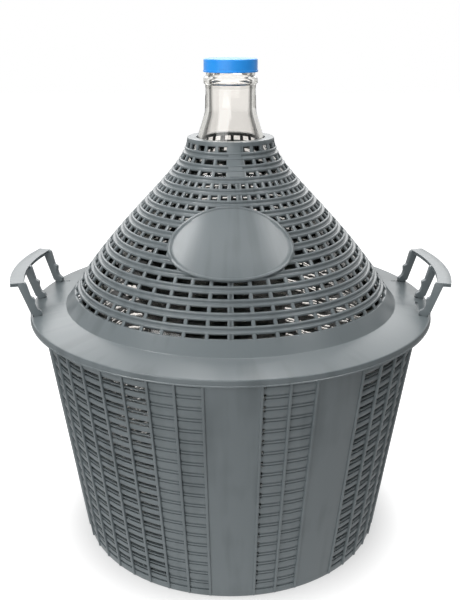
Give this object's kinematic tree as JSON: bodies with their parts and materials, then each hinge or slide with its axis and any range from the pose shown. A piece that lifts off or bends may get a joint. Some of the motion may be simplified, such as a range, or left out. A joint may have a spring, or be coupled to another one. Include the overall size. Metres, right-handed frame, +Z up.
{
  "type": "demijohn in a plastic basket",
  "caption": "Wide glass carboy with a short neck and blue screw cap, held in a grey moulded basket with a lattice cone cover and two side handles.",
  "frame": {"origin": "middle of the basket's underside, on the bottle's axis", "axes": "+Z up along the bottle's axis, -Y towards the front with the oval plate, +X and -X towards the two handles"},
  "size_m": [0.4964, 0.4598, 0.5507],
  "materials": {
    "clear_glass": "clear blown soda-lime glass",
    "blue_cap_plastic": "satin moulded polyethylene",
    "liner_foam": "soft white foam",
    "grey_basket_plastic": "satin moulded polyethylene, mid grey"
  },
  "bodies": {
    "bottle_in_basket": {"glass_bottle": "clear_glass", "basket": "grey_basket_plastic", "cover": "grey_basket_plastic"},
    "liner": {"cap_liner": "liner_foam"},
    "cap": {"screw_cap": "blue_cap_plastic"}
  },
  "joints": [
    {"name": "cap_lift", "type": "slide", "parent": "bottle_in_basket", "child": "liner", "axis": [0, 0, 1], "range_m": [0, 0.006]},
    {"name": "cap_turn", "type": "hinge", "parent": "liner", "child": "cap", "pos_m": [0, 0, 0.544], "axis": [0, 0, 1], "range_deg": [0, 540]}
  ],
  "couplings": [
    {"joint": "cap_lift", "follows": "cap_turn", "m_per_rad": 0.000636}
  ]
}
